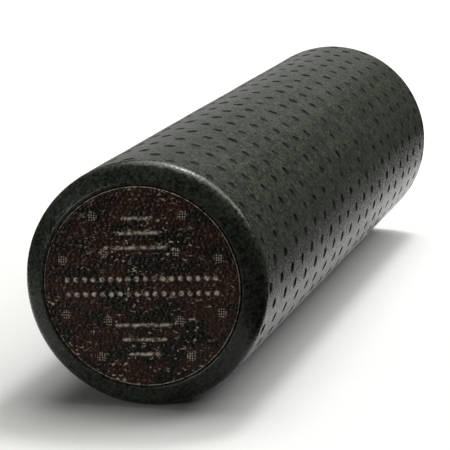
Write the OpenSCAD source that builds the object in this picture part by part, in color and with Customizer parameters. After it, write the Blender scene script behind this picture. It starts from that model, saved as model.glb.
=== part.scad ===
// Foam roller: a solid foam cylinder for massage and exercise, lying on its side.
// Frame: the roller's axis runs along Y, +Z is up, and the origin is on the floor
// midway along the roller, straight below its axis. The front end faces -Y.
// The roller rests on a narrow flat strip, which stands for the foam's give on the floor.

/* [Roller] */
// Outer diameter of the roller
roller_d = 152.4; // [145:0.1:200]
// Overall length from end to end
roller_l = 609.6; // [300:0.1:1000]

/* [Rounded shoulders] */
// Width of the shoulder ring, from the end disc out to the barrel
shoulder_w = 14.4; // [12:0.1:18]
// Axial distance from an end to where the full diameter starts
shoulder_l = 12; // [11:0.5:20]
// Radius of the corner between shoulder and barrel
corner_r = 9; // [4:0.5:10]
// Radius of the small lip around each end disc
lip_r = 2; // [1:0.25:3]
// Depth of the lip below the end of the roller
lip_drop = 0.6; // [0.2:0.1:1]

/* [Rest] */
// Width of the flat strip along the bottom that the roller rests on
rest_w = 10; // [2:0.5:14]

/* [Dimples] */
// Number of rows of dimples around the barrel
dimple_rows = 36; // [12:2:48]
// Dimples in each row
dimples_per_row = 19; // [2:1:24]
// Distance from an end to the nearest dimple's centre
dimple_margin = 18; // [16:0.5:40]
// Diameter of a dimple's mouth
dimple_d = 6.4; // [3:0.2:8]
// Depth of a dimple
dimple_depth = 1; // [0.5:0.1:1.5]

/* [End discs] */
// Thickness of each end disc, its rim included
disc_t = 8; // [5:0.5:15]
// Height of the thin raised rim around the disc's face
rim_h = 0.6; // [0.2:0.1:1]
// Width of that rim
rim_w = 0.9; // [0.5:0.1:2]

/* [Vent marks] */
// Diameter of the round steam vent marks on the discs
vent_d = 6.4; // [3:0.2:8]
// Depth of the marks
vent_depth = 0.4; // [0.2:0.1:0.6]
// Radius of the outer circle of marks
vent_outer_r = 52; // [48:0.5:56]
// Radius of the inner circle of marks
vent_inner_r = 31; // [20:0.5:40]

// Turn of the discs' level line out of the horizontal
disc_turn = 3.7; // [-45:0.1:45]

/* [Core] */
// Diameter of the dense core inside the sleeve
core_d = 90; // [40:1:110]

/* [Hidden] */
$fn = 96;

roller_r = roller_d / 2;
disc_r = roller_r - shoulder_w;
core_r = core_d / 2;
half_l = roller_l / 2;

// Height of the roller's axis above the floor, with the strip pressed flat
axis_z = sqrt(roller_r * roller_r - rest_w * rest_w / 4);

// Dimples of one row lie midway between those of the next
dimple_pitch = (roller_l - 2 * dimple_margin) / (dimples_per_row - 0.5);

// Radius of the ball that hollows a dimple of that mouth and depth
ball_r = (dimple_d * dimple_d / 4 + dimple_depth * dimple_depth) / (2 * dimple_depth);

// Angles of the marks either side of the disc's level line, on both halves
vent_outer_angles = [19, 57, 123, 161];
vent_inner_angles = [43, 137];

// How far cutting tools run past the faces they cut
overshoot = 1;

// Centres of the lip's and the corner's arcs, as [radius, depth from the end]
lip_centre = [disc_r + lip_r, lip_drop + lip_r];
corner_centre = [roller_r - corner_r, shoulder_l];

// Unit normal of the straight line that touches both arcs from outside
function tangent_normal(from, to, from_r, to_r) =
    let (
        step = to - from,
        along = step / norm(step),
        across = [along[1], -along[0]],
        share = (from_r - to_r) / norm(step)
    )
    share * along + sqrt(1 - share * share) * across;

shoulder_normal = tangent_normal(lip_centre, corner_centre, lip_r, corner_r);
lip_touch = lip_centre + lip_r * shoulder_normal;
corner_touch = corner_centre + corner_r * shoulder_normal;

// Turns a solid made along +Z, with its end at z = 0, to run along +Y from the front end
module from_front_end() {
    translate([0, -half_l, axis_z]) rotate([-90, 0, 0]) children();
}

// The same solid at the rear end, turned half a turn about the vertical
module from_rear_end() {
    rotate([0, 0, 180]) from_front_end() children();
}

// Half section of one end to the middle: lip, sloping band, corner and barrel, x = radius
module end_section() {
    translate(lip_centre) circle(r = lip_r);
    translate(corner_centre) circle(r = corner_r);
    polygon([
        [disc_r, lip_centre[1]],
        lip_centre,
        lip_touch,
        corner_touch,
        corner_centre,
        [roller_r, shoulder_l],
        [roller_r, half_l],
        [disc_r, half_l]
    ]);
}

// Section of the sleeve from one end to the middle, with its seat for the end disc
module half_sleeve_section() {
    difference() {
        union() {
            end_section();
            translate([core_r, disc_t]) square([disc_r - core_r + lip_r, half_l - disc_t]);
        }
        translate([0, -overshoot]) square([disc_r, disc_t + overshoot]);
    }
}

// One row of dished dimples along the barrel, the first at distance start from the front end
module dimple_row(start) {
    for (i = [0 : dimples_per_row - 1])
        translate([roller_r - dimple_depth + ball_r, 0, start + i * dimple_pitch])
        sphere(r = ball_r, $fn = 32);
}

// What lies below the floor when the axis is at axis_z, in the frame of from_front_end()
module below_floor() {
    translate([-rest_w, axis_z, -overshoot])
    cube([2 * rest_w, rest_w, roller_l + 2 * overshoot]);
}

// Foam jacket that rolls on the floor, with a bore for the core and a seat at each end
module outer_sleeve() {
    color([0.17, 0.18, 0.16])
    from_front_end()
    difference() {
        rotate_extrude() {
            half_sleeve_section();
            translate([0, roller_l]) mirror([0, 1]) half_sleeve_section();
        }
        for (row = [0 : dimple_rows - 1])
            rotate([0, 0, row * 360 / dimple_rows])
            dimple_row(dimple_margin + (row % 2) * dimple_pitch / 2);
        below_floor();
    }
}

// Dense foam bar that carries the load, between the two end discs
module inner_core() {
    color([0.10, 0.10, 0.10])
    from_front_end()
    translate([0, 0, disc_t]) cylinder(h = roller_l - 2 * disc_t, r = core_r);
}

// Shallow round marks left by the mould's steam vents, in one circle of radius at_r
module vent_marks(at_r, angles) {
    for (side = [0, 180], angle = angles)
        rotate([0, 0, side + angle])
        translate([at_r, 0, rim_h - overshoot])
        cylinder(h = vent_depth + overshoot, d = vent_d);
}

// Disc set flush into the end, with a thin raised rim and the vent marks in its face
module end_disc() {
    color([0.14, 0.12, 0.10])
    rotate([0, 0, -disc_turn])
    difference() {
        cylinder(h = disc_t, r = disc_r);
        translate([0, 0, -overshoot]) cylinder(h = rim_h + overshoot, r = disc_r - rim_w);
        vent_marks(vent_outer_r, vent_outer_angles);
        vent_marks(vent_inner_r, vent_inner_angles);
    }
}

module front_end_disc() {
    from_front_end() end_disc();
}

module rear_end_disc() {
    from_rear_end() end_disc();
}

outer_sleeve();
inner_core();
front_end_disc();
rear_end_disc();
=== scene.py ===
"""A foam roller lying on a pale floor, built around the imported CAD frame.

The roller's axis runs along Y, its front end faces -Y and +Z is up. Lengths are in metres;
MM turns millimetres into metres.
"""

import math

import bpy
import numpy as np
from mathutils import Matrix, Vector


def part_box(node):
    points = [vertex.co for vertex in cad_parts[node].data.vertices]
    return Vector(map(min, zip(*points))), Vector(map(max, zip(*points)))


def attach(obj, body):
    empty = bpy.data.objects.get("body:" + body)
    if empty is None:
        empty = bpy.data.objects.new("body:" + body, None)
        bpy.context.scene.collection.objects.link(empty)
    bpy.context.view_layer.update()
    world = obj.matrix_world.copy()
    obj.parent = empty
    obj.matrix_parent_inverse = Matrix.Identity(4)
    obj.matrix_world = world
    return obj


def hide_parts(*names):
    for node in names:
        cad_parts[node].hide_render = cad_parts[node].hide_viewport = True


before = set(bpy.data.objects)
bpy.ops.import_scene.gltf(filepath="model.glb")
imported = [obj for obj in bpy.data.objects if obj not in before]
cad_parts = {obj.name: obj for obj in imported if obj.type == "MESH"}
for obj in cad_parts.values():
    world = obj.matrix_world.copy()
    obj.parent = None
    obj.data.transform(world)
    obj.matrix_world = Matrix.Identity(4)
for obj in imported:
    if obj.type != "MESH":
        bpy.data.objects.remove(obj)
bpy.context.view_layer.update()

MM = 0.001

# Sizes that the CAD frame gives
sleeve_low, sleeve_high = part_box("outer_sleeve")
disc_low, disc_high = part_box("front_end_disc")
core_low, core_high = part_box("inner_core")
ROLLER_R = (sleeve_high.x - sleeve_low.x) / 2
ROLLER_L = -2 * disc_low.y
AXIS_Z = (disc_low.z + disc_high.z) / 2
DISC_R = (disc_high.x - disc_low.x) / 2
DISC_T = disc_high.y - disc_low.y
CORE_R = (core_high.x - core_low.x) / 2
CORE_L = core_high.y - core_low.y
LIP_DROP = sleeve_low.y - disc_low.y

# Shape of the rounded shoulders, as in the CAD, and the points on their two arcs
SHOULDER_L = 12 * MM
CORNER_R = 9 * MM
LIP_R = 2 * MM
CORNER_STEPS = 12
LIP_STEPS = 9

# Waves of the barrel's moulded surface: (height in mm, waves around, rate along it, phase)
WAVES = [(0.08, 3, 9, 0.0), (0.05, 7, -31, 1.0), (0.04, 2, 47, 2.0), (0.03, 13, 83, 0.5)]

# The dimples in the barrel, as in the CAD
DIMPLE_ROWS = 36
DIMPLES_PER_ROW = 19
DIMPLE_MARGIN = 18 * MM
DIMPLE_D = 6.4 * MM
DIMPLE_DEPTH = 1.0 * MM
ROW_ANGLE = 2 * math.pi / DIMPLE_ROWS

# Dimples of one row lie midway between those of the next, so columns are half a pitch apart
COLUMNS = 2 * DIMPLES_PER_ROW
COLUMN_STEP = (ROLLER_L - 2 * DIMPLE_MARGIN) / (COLUMNS - 1)

# How dimples differ at random: most shift, least and most size around and along the barrel
# as shares of the diameter, share of the depth, strength of their painted shade, and most turn
DIMPLE_SEED = 11
SHIFT_AROUND = 1.2 * MM
SHIFT_ALONG = 1.6 * MM
LEAST_SIZE = (0.90, 1.04)
MOST_SIZE = (1.14, 1.36)
DEPTH_SHARE = (0.6, 1.0)
PAINTED_SHADE_RANGE = (0.45, 0.95)
MOST_TURN = math.radians(14)

# Rings of a dimple's dish: (step out from its mouth in mm, share of its depth, painted shade)
DISH = [(0.4, 0.0, 0.0), (0.1, 0.0, 0.8), (-0.2, 0.4, 1.0), (-0.6, 0.85, 1.0), (-1.2, 1.0, 1.0)]

# Grid of the barrel's mesh: each cell holds one dimple or none
CELL_ACROSS = 6
CELL_ALONG = 4
AROUND = DIMPLE_ROWS * CELL_ACROSS
LINES = COLUMNS * CELL_ALONG + 1

# The end discs: their rim and the plain border inside it, the turn of their level line, and
# the rings of points in their mesh
RIM_H = 0.6 * MM
RIM_W = 0.9 * MM
# Share by which the rim's top is painted pale: a painted highlight line around the disc
RIM_HIGHLIGHT = 0.8
BORDER_W = 1.2 * MM
BORDER_EDGE = 1.0 * MM
DISC_TURN = math.radians(3.7)
PLAIN_RINGS = 147
RIM_RINGS = 6

# The beads in their skin: size, most shift as a share of it, dome, tilt and groove between
BEAD = 2.8 * MM
BEAD_JITTER = 0.36
DOME_H = 0.20 * MM
DOME_CURVE = 3.0
TILT_H = 0.3 * MM
GROOVE_H = 0.14 * MM
GROOVE_W = 0.35 * MM
FRONT_SEED = 3
REAR_SEED = 5

# Their round vent marks: (radius of a circle of marks, their angles on one half)
VENT_PLACES = [(52 * MM, (19, 57, 123, 161)), (31 * MM, (43, 137))]
VENT_R = 3.2 * MM
VENT_H = 0.25 * MM
VENT_EDGE = 0.5 * MM
PIP_PITCH = 1.4 * MM
PIP_R = 0.5 * MM
PIP_H = 0.45 * MM

# Their generic relief: two rows of studs, and ribs that get shorter away from them
MARK_H = 0.40 * MM
STUD_R = 1.9 * MM
STUD_EDGE = 0.7 * MM
STUD_PITCH = 5.5 * MM
STUDS = 18
STUD_ROW_Z = 4.6 * MM
RIBS = 3
RIB_HALF_W = 1.6 * MM
RIB_Z = 24 * MM
RIB_STEP = 9 * MM
RIB_HALF_L = 17 * MM
RIB_SHORTER = 4 * MM

# The inner core's sides and eased edges
CORE_SIDES = 96
CORE_EASE = 1.0 * MM

# Edges that turn by more than this stay crisp
SHARP_FROM = math.radians(50)


# ---------------------------------------------------------------- mesh helpers

class Shell:
    """A mesh in the making: points, a shade for each of them, and faces."""

    def __init__(self):
        self.blocks = []
        self.shades = []
        self.faces = []
        self.total = 0

    def add_points(self, points, shade=0.0):
        """Adds points that share a shade: their indices."""
        first = self.total
        self.total += len(points)
        self.blocks.append(points)
        self.shades.append(np.full(len(points), shade))
        return list(range(first, self.total))

    def compacted(self):
        """(points, shades, faces) without the points that no face uses."""
        used = sorted({i for face in self.faces for i in face})
        place = {old: new for new, old in enumerate(used)}
        faces = [tuple(place[i] for i in face) for face in self.faces]
        return np.concatenate(self.blocks)[used], np.concatenate(self.shades)[used], faces


def add_piece(name, points, faces, material, node):
    """A smooth mesh from points and faces that rides on the root and stands for a CAD node."""
    mesh = bpy.data.meshes.new(name)
    mesh.from_pydata([tuple(p) for p in points], [], faces)
    mesh.validate()
    mesh.shade_smooth()
    mesh.set_sharp_from_angle(angle=SHARP_FROM)
    mesh.materials.append(material)
    piece = bpy.data.objects.new(name, mesh)
    bpy.context.scene.collection.objects.link(piece)
    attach(piece, "root")
    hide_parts(node)
    return piece


def add_shade(piece, name, values):
    """A number for each vertex, which the piece's material reads by its name."""
    shade = piece.data.attributes.new(name, "FLOAT", "POINT")
    shade.data.foreach_set("value", values)


def around_axis(radius, angle, depth):
    """Points at a radius and angle about the roller's axis, depth behind its front end."""
    radius, angle, depth = np.broadcast_arrays(radius, angle, depth)
    x, z = radius * np.cos(angle), radius * np.sin(angle)
    return np.stack([x, depth - ROLLER_L / 2, AXIS_Z + z], axis=-1)


def ring_faces(first, second):
    """Quads between two closed rings, given as lists of as many indices."""
    count = len(first)
    return [
        (first[k], first[(k + 1) % count], second[(k + 1) % count], second[k])
        for k in range(count)
    ]


def smooth_step(t):
    """From 0 to 1 with a soft start and end, as t goes from 0 to 1."""
    t = np.clip(t, 0, 1)
    return t * t * (3 - 2 * t)


# ---------------------------------------------------------------- outer sleeve

def swell(angle, depth):
    """Slight unevenness of the barrel's moulded surface."""
    return MM * sum(
        height * np.sin(waves * angle + rate * depth + phase)
        for height, waves, rate, phase in WAVES
    )


def shoulder_profile():
    """Radius and depth of the shoulder, from the barrel's edge in to the lip's foot."""
    lip = np.array([DISC_R + LIP_R, LIP_DROP + LIP_R])
    corner = np.array([ROLLER_R - CORNER_R, SHOULDER_L])
    step = corner - lip
    distance = np.hypot(*step)
    along = step / distance
    across = np.array([along[1], -along[0]])
    share = (LIP_R - CORNER_R) / distance
    normal = share * along + math.sqrt(1 - share * share) * across
    tilt = math.atan2(normal[1], normal[0])
    corner_angles = np.linspace(0, tilt, CORNER_STEPS)[1:]
    lip_angles = np.linspace(tilt, -math.pi, LIP_STEPS)
    arcs = [(corner, CORNER_R, corner_angles), (lip, LIP_R, lip_angles)]
    return [
        centre + radius * np.array([math.cos(a), math.sin(a)])
        for centre, radius, angles in arcs
        for a in angles
    ]


def line_depths(centres):
    """Depths of the grid lines that run around the barrel, CELL_ALONG of them to a cell."""
    borders = np.concatenate(
        [[SHOULDER_L], centres[1:] - COLUMN_STEP / 2, [ROLLER_L - SHOULDER_L]]
    )
    share = np.arange(CELL_ALONG) / CELL_ALONG
    depths = (borders[:-1, None] + share * np.diff(borders)[:, None]).ravel()
    return np.append(depths, borders[-1])


def grid_point(i, j):
    """Index of the barrel's point i steps around, on line j."""
    return (i % AROUND) * LINES + j


def cell_outline():
    """The cell's border as points of the square from -1 to 1, anticlockwise from a corner."""
    across = [-1 + 2 * i / CELL_ACROSS for i in range(CELL_ACROSS)]
    along = [-1 + 2 * i / CELL_ALONG for i in range(CELL_ALONG)]
    return (
        [(u, -1) for u in across]
        + [(1, v) for v in along]
        + [(-u, 1) for u in across]
        + [(-1, -v) for v in along]
    )


def cell_border(row, column):
    """Indices of the points on a cell's border, in the order of its outline."""
    return [
        grid_point(
            row * CELL_ACROSS + round((u + 1) / 2 * CELL_ACROSS),
            column * CELL_ALONG + round((v + 1) / 2 * CELL_ALONG),
        )
        for u, v in cell_outline()
    ]


def plain_cell(row, column):
    """Quads of a cell that holds no dimple."""
    i0, j0 = row * CELL_ACROSS, column * CELL_ALONG
    return [
        (grid_point(i, j), grid_point(i + 1, j), grid_point(i + 1, j + 1), grid_point(i, j + 1))
        for i in range(i0, i0 + CELL_ACROSS)
        for j in range(j0, j0 + CELL_ALONG)
    ]


def oval(half_around, half_along):
    """An oval around and along the barrel, with one point for each on a cell's border."""
    angles = np.array([math.atan2(v, u) for u, v in cell_outline()])
    return half_around * np.cos(angles), half_along * np.sin(angles)


def dish_floor(ring):
    """Faces that close a dimple's innermost ring: a strip of quads and a polygon each side."""
    turn, last = CELL_ACROSS + CELL_ALONG, 2 * CELL_ACROSS + CELL_ALONG
    near_side = ring[: CELL_ACROSS + 1]
    far_side = ring[turn : last + 1][::-1]
    strip = [
        (near_side[k], near_side[k + 1], far_side[k + 1], far_side[k])
        for k in range(CELL_ACROSS)
    ]
    return strip + [tuple(ring[CELL_ACROSS : turn + 1]), tuple(ring[last:] + ring[:1])]


def add_dimple(shell, rng, border, angle, depth):
    """A dished oval inside a cell's border, a little unlike the others, with painted shade."""
    angle += rng.uniform(-SHIFT_AROUND, SHIFT_AROUND) / ROLLER_R
    depth += rng.uniform(-SHIFT_ALONG, SHIFT_ALONG)
    half_around, half_along = DIMPLE_D / 2 * rng.uniform(LEAST_SIZE, MOST_SIZE)
    dish_depth = DIMPLE_DEPTH * rng.uniform(*DEPTH_SHARE)
    painted_shade = rng.uniform(*PAINTED_SHADE_RANGE)
    turn = rng.uniform(-1, 1) * MOST_TURN
    before = border
    for offset, fall, shade in DISH:
        x, y = oval(half_around + offset * MM, half_along + offset * MM)
        ring_angle = angle + (x * math.cos(turn) - y * math.sin(turn)) / ROLLER_R
        ring_depth = depth + (x * math.sin(turn) + y * math.cos(turn))
        radius = ROLLER_R + swell(ring_angle, ring_depth) - fall * dish_depth
        # painted shade: each ring of the dish gets its share of the dimple's painted shade
        ring = shell.add_points(around_axis(radius, ring_angle, ring_depth), shade * painted_shade)
        shell.faces += ring_faces(before, ring)
        before = ring
    shell.faces += dish_floor(before)


def add_end(shell, angles, rear):
    """One end's shoulder and its seat for the disc: the indices of the bore's first ring."""
    before = [grid_point(i, LINES - 1 if rear else 0) for i in range(AROUND)]
    unevenness = swell(angles, ROLLER_L - SHOULDER_L if rear else SHOULDER_L)
    for radius, depth in shoulder_profile() + [(DISC_R, DISC_T), (CORE_R, DISC_T)]:
        fade = np.clip((radius - DISC_R) / (ROLLER_R - DISC_R), 0, 1)
        behind_front = ROLLER_L - depth if rear else depth
        ring = shell.add_points(around_axis(radius + fade * unevenness, angles, behind_front))
        shell.faces += ring_faces(before, ring) if rear else ring_faces(ring, before)
        before = ring
    return before


def outer_sleeve(material):
    """Foam jacket: the barrel with its staggered dimples and their painted shade, two rounded
    shoulders and the bore.
    """
    rng = np.random.default_rng(DIMPLE_SEED)
    centres = DIMPLE_MARGIN + COLUMN_STEP * np.arange(COLUMNS)
    angles = (np.arange(AROUND) - CELL_ACROSS / 2) * 2 * math.pi / AROUND
    angle, depth = np.meshgrid(angles, line_depths(centres), indexing="ij")
    shell = Shell()
    barrel = around_axis(ROLLER_R + swell(angle, depth), angle, depth)
    shell.add_points(barrel.reshape(-1, 3))
    for row in range(DIMPLE_ROWS):
        for column in range(COLUMNS):
            if (row + column) % 2:
                shell.faces += plain_cell(row, column)
            else:
                border = cell_border(row, column)
                add_dimple(shell, rng, border, row * ROW_ANGLE, centres[column])
    front_bore = add_end(shell, angles, rear=False)
    rear_bore = add_end(shell, angles, rear=True)
    shell.faces += ring_faces(front_bore, rear_bore)
    points, painted_dimple_shade, faces = shell.compacted()
    points[:, 2] = np.maximum(points[:, 2], 0)  # the foam gives where it rests on the floor
    piece = add_piece("sleeve", points, faces, material, "outer_sleeve")
    # painted shade in the dimples, by which the material darkens the colour
    add_shade(piece, "painted_dimple_shade", painted_dimple_shade)


# ---------------------------------------------------------------- end discs

def bead_cells(x, z, seed):
    """For each point, the offset to the nearest bead's centre, how much further away the
    second bead is, and two random numbers of the nearest bead."""
    rng = np.random.default_rng(seed)
    reach = int(DISC_R / BEAD) + 3
    size = 2 * reach + 1
    jitter = rng.uniform(-BEAD_JITTER, BEAD_JITTER, (size, size, 2))
    traits = rng.uniform(-1, 1, (size, size, 2))
    column, row = np.round(x / BEAD).astype(int), np.round(z / BEAD).astype(int)
    best = np.full(x.shape, np.inf)
    second = np.full(x.shape, np.inf)
    offset = np.zeros(x.shape + (2,))
    trait = np.zeros(x.shape + (2,))
    for c, r in [(column + dc, row + dr) for dc in (-1, 0, 1) for dr in (-1, 0, 1)]:
        shift = 0.5 * (r % 2) - 0.25  # every other row lies half a bead further on
        at = jitter[r + reach, c + reach]
        dx = x - (c + shift + at[..., 0]) * BEAD
        dz = z - (r + at[..., 1]) * BEAD
        distance = np.hypot(dx, dz)
        nearer = distance < best
        second = np.where(nearer, best, np.minimum(second, distance))
        best = np.where(nearer, distance, best)
        offset = np.where(nearer[..., None], np.stack([dx, dz], -1), offset)
        trait = np.where(nearer[..., None], traits[r + reach, c + reach], trait)
    return offset, second - best, trait


def rib(x, z, half_l, at_z):
    """From 1 on a level line of that half length to 0 at RIB_HALF_W from it."""
    past_end = np.maximum(np.abs(x) - half_l, 0)
    return smooth_step(1 - np.hypot(past_end, z - at_z) / RIB_HALF_W)


def raised_marks(x, z):
    """Generic relief in place of printed marks: two rows of round studs along the level
    line, and a stack of plain ribs above and below them."""
    relief = np.zeros(x.shape)
    for side in (-1, 1):
        for i in range(STUDS):
            stud_x = (i - (STUDS - 1) / 2) * STUD_PITCH
            distance = np.hypot(x - stud_x, z - side * STUD_ROW_Z)
            relief = np.maximum(relief, smooth_step((STUD_R - distance) / STUD_EDGE))
        for i in range(RIBS):
            rib_z = side * (RIB_Z + RIB_STEP * i)
            relief = np.maximum(relief, rib(x, z, RIB_HALF_L - RIB_SHORTER * i, rib_z))
    return relief


def vent_marks(x, z):
    """(inside, pips): where the round vent marks are, and the rows of pips in them."""
    inside = np.zeros(x.shape)
    pips = np.zeros(x.shape)
    for at_r, places in VENT_PLACES:
        for angle in [math.radians(a + side) for side in (0, 180) for a in places]:
            dx, dz = x - at_r * math.cos(angle), z - at_r * math.sin(angle)
            inside = np.maximum(inside, smooth_step((VENT_R - np.hypot(dx, dz)) / VENT_EDGE))
            row = np.round(dz / PIP_PITCH)
            shift = 0.5 * (row % 2)
            column = np.round(dx / PIP_PITCH - shift) + shift
            nearest = np.hypot(dx - column * PIP_PITCH, dz - row * PIP_PITCH)
            pips = np.maximum(pips, smooth_step(1 - nearest / PIP_R) * (inside > 0.5))
    return inside, pips


def disc_grid():
    """A grid of squares bent into a disc: (x and z of its points, quads, indices of its edge)."""
    rim_radii = DISC_R - np.linspace(0.75, 0, RIM_RINGS) * RIM_W
    radii = np.concatenate([np.linspace(0, DISC_R - RIM_W, PLAIN_RINGS), rim_radii])
    half = len(radii) - 1
    steps = np.arange(-half, half + 1)
    a, b = np.meshgrid(steps, steps, indexing="ij")
    ring = np.maximum(np.abs(a), np.abs(b))
    across = np.abs(a) >= np.abs(b)
    main = np.where(across, a, b)
    side = np.where(across, b, a)
    swing = math.pi / 4 * side / np.where(main == 0, 1, main)
    angle = np.where(across, swing, math.pi / 2 - swing)
    radius = radii[ring] * np.sign(main)
    index = np.arange(len(steps) ** 2).reshape(len(steps), -1)
    quads = np.stack([index[:-1, :-1], index[1:, :-1], index[1:, 1:], index[:-1, 1:]], -1)
    edge = np.concatenate([index[:-1, 0], index[-1, :-1], index[:0:-1, -1], index[0, :0:-1]])
    x, z = radius * np.cos(angle), radius * np.sin(angle)
    return x.ravel(), z.ravel(), quads.reshape(-1, 4), edge


def disc_relief(x, z, seed):
    """For each point of a disc: (its height above the sunken face, how pale its colour is
    painted for wear and painted highlight, how far it is inside a vent mark)."""
    radius = np.hypot(x, z)
    level_x = x * math.cos(DISC_TURN) + z * math.sin(DISC_TURN)
    level_z = z * math.cos(DISC_TURN) - x * math.sin(DISC_TURN)
    offset, gap, trait = bead_cells(x, z, seed)
    dome = 1 - DOME_CURVE * ((offset / BEAD) ** 2).sum(-1)
    tilt = (offset * trait).sum(-1) / BEAD
    groove = np.exp(-((gap / GROOVE_W) ** 2))
    inside, pips = vent_marks(level_x, level_z)
    border = smooth_step((radius - (DISC_R - RIM_W - BORDER_W)) / BORDER_EDGE)
    plain = (1 - inside) * (1 - border)
    marks = raised_marks(level_x, level_z) * plain
    face = plain * (DOME_H * dome + TILT_H * tilt - GROOVE_H * groove)
    face += MARK_H * marks + inside * (PIP_H * pips - VENT_H)
    rim = smooth_step(1 - np.abs(radius - (DISC_R - RIM_W / 2)) / (RIM_W / 2))
    height = np.where(radius > DISC_R - RIM_W, RIM_H * rim, np.minimum(face, RIM_H))
    return height, np.maximum(marks, RIM_HIGHLIGHT * rim), inside


def end_disc(name, node, rear, material):
    """Disc with a beaded face, a thin raised rim, vent marks and generic relief."""
    x, z, quads, edge = disc_grid()
    height, wear_and_highlight, vent = disc_relief(x, z, REAR_SEED if rear else FRONT_SEED)
    sign = -1 if rear else 1
    front = np.stack([sign * x, sign * (RIM_H - height - ROLLER_L / 2), AXIS_Z + z], -1)
    back = front[edge]
    back[:, 1] = sign * (DISC_T - ROLLER_L / 2)
    back_ring = list(range(len(front), len(front) + len(back)))
    faces = [tuple(q) for q in quads] + ring_faces(back_ring, edge) + [tuple(back_ring[::-1])]
    points = np.concatenate([front, back])
    piece = add_piece(name, points, faces, material, node)
    # raised: pale colour for wear and painted highlight; vent: where the painted highlight dots
    # go
    for shade, values in (("raised", wear_and_highlight), ("vent", vent)):
        add_shade(piece, shade, np.append(values, np.zeros(len(back))))


# ---------------------------------------------------------------- inner core

def inner_core(material):
    """Dense foam bar with slightly eased edges, hidden inside the sleeve."""
    shell = Shell()
    angles = np.arange(CORE_SIDES) * 2 * math.pi / CORE_SIDES
    front = (ROLLER_L - CORE_L) / 2
    rear = front + CORE_L
    radii = [CORE_R - CORE_EASE, CORE_R, CORE_R, CORE_R - CORE_EASE]
    depths = [front, front + CORE_EASE, rear - CORE_EASE, rear]
    rings = [shell.add_points(around_axis(r, angles, depth)) for r, depth in zip(radii, depths)]
    for before, after in zip(rings, rings[1:]):
        shell.faces += ring_faces(after, before)
    shell.faces += [tuple(rings[0]), tuple(rings[-1][::-1])]
    points, _, faces = shell.compacted()
    add_piece("core", points, faces, material, "inner_core")


# ---------------------------------------------------------------- materials

class Nodes:
    """Short forms for building the nodes of a material or a world."""

    def __init__(self, owner):
        owner.use_nodes = True
        self.tree = owner.node_tree

    def fill(self, sockets, inputs):
        """Sets each named socket to a number, a colour or what another node puts out."""
        for key, value in inputs.items():
            if isinstance(value, bpy.types.NodeSocket):
                self.tree.links.new(value, sockets[key])
            else:
                sockets[key].default_value = value

    def add(self, kind, inputs, **settings):
        node = self.tree.nodes.new(kind)
        for key, value in settings.items():
            setattr(node, key, value)
        self.fill(node.inputs, inputs)
        return node.outputs

    def into(self, name, inputs):
        """Fills the sockets of a node that is already there."""
        self.fill(self.tree.nodes[name].inputs, inputs)

    def place(self):
        return self.add("ShaderNodeTexCoord", {})["Object"]

    def shade(self, name):
        """What add_shade() stored under that name."""
        return self.add("ShaderNodeAttribute", {}, attribute_name=name)["Fac"]

    def math(self, operation, a, b):
        return self.add("ShaderNodeMath", {0: a, 1: b}, operation=operation)[0]

    def vector_math(self, operation, a, b):
        return self.add("ShaderNodeVectorMath", {0: a, 1: b}, operation=operation)

    def mix(self, share, first, second):
        """The first colour where the share is 0, and the second where it is 1."""
        inputs = {"Factor": share, 6: first, 7: second}
        return self.add("ShaderNodeMix", inputs, data_type="RGBA")[2]

    def remap(self, value, source, target, **settings):
        """The value moved from the source range to the target range, and held inside it."""
        inputs = {"Value": value, "From Min": source[0], "From Max": source[1]}
        inputs.update({"To Min": target[0], "To Max": target[1]})
        return self.add("ShaderNodeMapRange", inputs, **settings)["Result"]

    def noise(self, place, scale, detail=2.0):
        """Smooth noise from 0 to 1 with about that many features to a metre."""
        inputs = {"Vector": place, "Scale": scale, "Detail": detail}
        return self.add("ShaderNodeTexNoise", inputs)["Fac"]

    def beads(self, place, size):
        """(distance to the nearest bead's centre, that bead's random tone)."""
        cells = self.add("ShaderNodeTexVoronoi", {"Vector": place, "Scale": 1 / size})
        tone = self.add("ShaderNodeSeparateColor", {"Color": cells["Color"]})[0]
        return cells["Distance"], tone

    def bump(self, height, distance, strength, below=None):
        """A normal bumped by a height from 0 to 1, on top of the normal below."""
        inputs = {"Height": height, "Distance": distance, "Strength": strength}
        if below is not None:
            inputs["Normal"] = below
        return self.add("ShaderNodeBump", inputs)["Normal"]


SHADER = "Principled BSDF"


def sleeve_material():
    """Green-black bead foam: soft beads pressed together, a fine mottled skin, painted shade in
    the dimples.
    """
    material = bpy.data.materials.new("sleeve_foam")
    n = Nodes(material)
    place = n.place()
    dimple_shade_mask = n.shade("painted_dimple_shade")
    bead_distance, bead_tone = n.beads(place, BEAD)
    patches = n.noise(place, 60.0)
    blotches = n.noise(place, 240.0, 1.0)
    mottle = n.noise(place, 480.0)
    grain = n.noise(place, 1300.0)
    speckle = n.math("ADD", mottle, n.math("MULTIPLY", grain, 0.8))
    speckle = n.remap(speckle, (0.68, 1.12), (0.0, 0.62))
    cloud = n.remap(n.math("ADD", patches, blotches), (0.85, 1.15), (0.0, 0.26))
    tone = n.math("ADD", n.math("ADD", speckle, cloud), n.math("MULTIPLY", bead_tone, 0.1))
    colour = n.mix(tone, (0.0019, 0.0021, 0.0017, 1), (0.070, 0.079, 0.059, 1))
    # painted shade: the dimples' colour darkened to near black where shade falls in them
    colour = n.mix(dimple_shade_mask, colour, (0.0055, 0.0060, 0.0047, 1))
    smooth = n.remap(mottle, (0.3, 0.7), (0.18, 0.30))
    roughness = n.math("MAXIMUM", smooth, n.remap(dimple_shade_mask, (0.0, 0.5), (0.0, 1.0)))
    relief = n.bump(grain, 0.07 * MM, 1.0)
    relief = n.bump(mottle, 0.28 * MM, 1.0, relief)
    relief = n.bump(bead_distance, 0.12 * MM, 0.8, relief)
    n.into(SHADER, {"Base Color": colour, "Roughness": roughness, "Normal": relief})
    n.into(SHADER, {"Specular IOR Level": 0.22})
    return material


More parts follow.
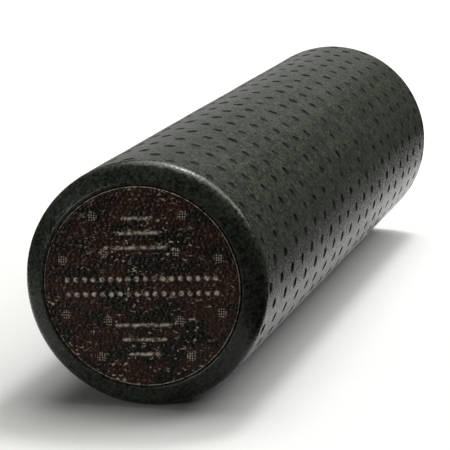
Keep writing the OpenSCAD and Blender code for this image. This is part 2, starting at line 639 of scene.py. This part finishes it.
def vent_dots(n, place):
    """Distance to the nearest of the fine dots that the vent marks get as painted highlights."""
    axes = n.add("ShaderNodeSeparateXYZ", {"Vector": place})
    face = n.add("ShaderNodeCombineXYZ", {"X": axes["X"], "Y": axes["Z"]})[0]
    inputs = {"Vector": face, "Scale": 1 / (1.5 * MM), "Randomness": 0.3}
    return n.add("ShaderNodeTexVoronoi", inputs, voronoi_dimensions="2D")["Distance"]


def disc_material():
    """Brown-black moulded skin with fine level wrinkles and painted glints; its raised relief
    is pale with wear and painted highlight, its rim and vent pips pale with painted highlight.
    """
    material = bpy.data.materials.new("disc_foam")
    n = Nodes(material)
    place = n.place()
    level = n.vector_math("MULTIPLY", place, (0.55, 1, 1))[0]
    patches = n.noise(level, 110.0, 4.0)
    wrinkles = n.noise(level, 620.0, 3.0)
    fine = n.noise(place, 520.0)
    grain = n.noise(place, 1100.0)
    red = n.remap(patches, (0.41, 0.59), (0.0, 1.0))
    colour = n.mix(red, (0.0155, 0.0142, 0.0094, 1), (0.056, 0.0235, 0.0170, 1))
    # painted glints: pale specks in patches where the wrinkles peak, standing in for light caught
    # on the skin
    glint_patches = n.remap(n.noise(place, 45.0), (0.40, 0.60), (0.15, 1.0))
    painted_glints = n.math("MULTIPLY", glint_patches, n.remap(wrinkles, (0.62, 0.69), (0.0, 1.0)))
    colour = n.mix(painted_glints, colour, (0.86, 0.70, 0.54, 1))
    # painted highlights: pale dots on the vent marks' pips and pale tops on the rim and relief,
    # the relief's partly wear
    dots = n.remap(vent_dots(n, place), (0.16, 0.40), (0.75, 0.0))
    painted_vent_dots = n.math("MULTIPLY", n.shade("vent"), dots)
    wear_and_highlight = n.math("MULTIPLY", n.shade("raised"), n.remap(fine, (0.40, 0.56), (0.15, 1.0)))
    colour = n.mix(n.math("MAXIMUM", wear_and_highlight, painted_vent_dots), colour, (0.95, 0.83, 0.67, 1))
    roughness = n.remap(fine, (0.3, 0.7), (0.16, 0.34))
    relief = n.bump(grain, 0.10 * MM, 0.8)
    relief = n.bump(wrinkles, 0.30 * MM, 1.0, relief)
    n.into(SHADER, {"Base Color": colour, "Roughness": roughness, "Normal": relief})
    n.into(SHADER, {"Specular IOR Level": 0.13})
    return material


def core_material():
    """Dense black foam with large pressed beads."""
    material = bpy.data.materials.new("core_foam")
    n = Nodes(material)
    bead_distance, bead_tone = n.beads(n.place(), 1.4 * BEAD)
    colour = n.mix(bead_tone, (0.008, 0.008, 0.008, 1), (0.020, 0.020, 0.020, 1))
    relief = n.bump(bead_distance, 0.2 * MM, 0.6)
    n.into(SHADER, {"Base Color": colour, "Roughness": 0.7, "Normal": relief})
    return material


def floor_material():
    """Pale studio floor with painted shade: darker near the roller, paler away from it."""
    material = bpy.data.materials.new("studio_floor")
    n = Nodes(material)
    away = n.vector_math("LENGTH", n.place(), (0, 0, 0))["Value"]
    # painted shade: the floor's colour darkest within 0.3 m of the roller and fully pale from 1.3
    # m
    tone = n.remap(away, (0.3, 1.3), (0.0, 1.0))
    colour = n.mix(tone, (0.72, 0.72, 0.72, 1), (0.97, 0.97, 0.97, 1))
    n.into(SHADER, {"Base Color": colour, "Roughness": 0.8, "Specular IOR Level": 0.12})
    return material


# ---------------------------------------------------------------- camera, floor, light

# The camera: angles in degrees, as in direction(), distances, and lens and sensor in mm
CAMERA_AZIMUTH = 13.65
CAMERA_ELEVATION = 10.94
CAMERA_DISTANCE = 1.821
CAMERA_REACH = 50.0
CAMERA_AIM = Vector((-0.0219, 0.0, 0.0559))
LENS = 201.0
SENSOR = 36.0

# Lines that split the floor into nine parts, the middle one under and near the roller
FLOOR_X = (-12.0, -0.35, 0.117, 12.0)
FLOOR_Y = (-12.0, -0.45, 0.9, 12.0)

# The patch of light overhead: its direction, inner and outer half angle in degrees, its
# strength and that of the rest of the sky
DOME_AXIS = Vector((0.10, 0.42, 0.9))
DOME_CORE = 15
DOME_EDGE = 38
BRIGHT = 4.3
DIM = 0.04
SKY_COLOUR = (0.99, 1.0, 0.95, 1)


def direction(azimuth, elevation):
    """Unit vector towards a place at that azimuth, counted to the right from the front, and
    that elevation, both in degrees."""
    azimuth, elevation = math.radians(azimuth), math.radians(elevation)
    flat = math.cos(elevation)
    return Vector((math.sin(azimuth) * flat, -math.cos(azimuth) * flat, math.sin(elevation)))


def add_facing(name, data, aim, distance, towards):
    """A camera or lamp that looks at a point from that distance and direction."""
    thing = bpy.data.objects.new(name, data)
    thing.location = aim + distance * towards
    thing.rotation_euler = (-towards).to_track_quat("-Z", "Y").to_euler()
    bpy.context.scene.collection.objects.link(thing)
    return thing


def make_camera():
    data = bpy.data.cameras.new("camera")
    data.sensor_width = SENSOR
    data.lens = LENS
    data.clip_end = CAMERA_REACH
    towards = direction(CAMERA_AZIMUTH, CAMERA_ELEVATION)
    bpy.context.scene.camera = add_facing("camera", data, CAMERA_AIM, CAMERA_DISTANCE, towards)


def add_floor(name, material, parts):
    """A flat stage mesh of some of the floor's parts, each given as (row, column)."""
    corners = [(x, y, 0.0) for y in FLOOR_Y for x in FLOOR_X]
    width = len(FLOOR_X)
    quads = [
        (width * r + c, width * r + c + 1, width * (r + 1) + c + 1, width * (r + 1) + c)
        for r, c in parts
    ]
    mesh = bpy.data.meshes.new(name)
    mesh.from_pydata(corners, [], quads)
    mesh.materials.append(material)
    floor = bpy.data.objects.new(name, mesh)
    floor.visible_diffuse = False
    bpy.context.scene.collection.objects.link(floor)
    return floor


def make_floor():
    """A pale floor that throws no soft light back at the roller. Only the part near it shows
    in glossy reflections, so the barrel's side has a dark zone above its bright lower edge."""
    material = floor_material()
    middle = (1, 1)
    add_floor("floor_near", material, [middle])
    others = [(r, c) for r in range(3) for c in range(3) if (r, c) != middle]
    far = add_floor("floor_far", material, others)
    far.visible_glossy = False


def soft_box(name, azimuth, elevation, distance, width, height, power):
    """A rectangular lamp that faces the roller from that direction."""
    data = bpy.data.lights.new(name, "AREA")
    data.shape = "RECTANGLE"
    data.size = width
    data.size_y = height
    data.energy = power
    add_facing(name, data, Vector((0, 0, ROLLER_R)), distance, direction(azimuth, elevation))


def make_world():
    """Dim surroundings with one broad, soft patch of light overhead, a little behind."""
    world = bpy.data.worlds.new("studio")
    n = Nodes(world)
    outwards = n.add("ShaderNodeTexCoord", {})["Generated"]
    nearness = n.vector_math("DOT_PRODUCT", outwards, DOME_AXIS.normalized())["Value"]
    rise = (math.cos(math.radians(DOME_EDGE)), math.cos(math.radians(DOME_CORE)))
    strength = n.remap(nearness, rise, (DIM, BRIGHT), interpolation_type="SMOOTHSTEP")
    n.into("Background", {"Strength": strength, "Color": SKY_COLOUR})
    bpy.context.scene.world = world


def make_light():
    """The patch overhead and five lamps, each with its name, azimuth, elevation, distance,
    width, height and power."""
    make_world()
    soft_box("back_left", -160, 5, 3.5, 2.4, 0.8, 2.6)
    soft_box("front_left", -32, 7, 2.2, 0.4, 0.4, 8.2)
    soft_box("front_right", 46, 37, 2.2, 1.0, 1.0, 1)
    soft_box("right", 120, 40, 2.2, 0.8, 0.8, 13)
    soft_box("overhead", 165, 64, 2.0, 0.35, 0.35, 17)


bpy.context.scene.view_settings.view_transform = "Standard"
make_camera()
make_floor()
make_light()
disc_foam = disc_material()
outer_sleeve(sleeve_material())
end_disc("front_disc", "front_end_disc", False, disc_foam)
end_disc("rear_disc", "rear_end_disc", True, disc_foam)
inner_core(core_material())
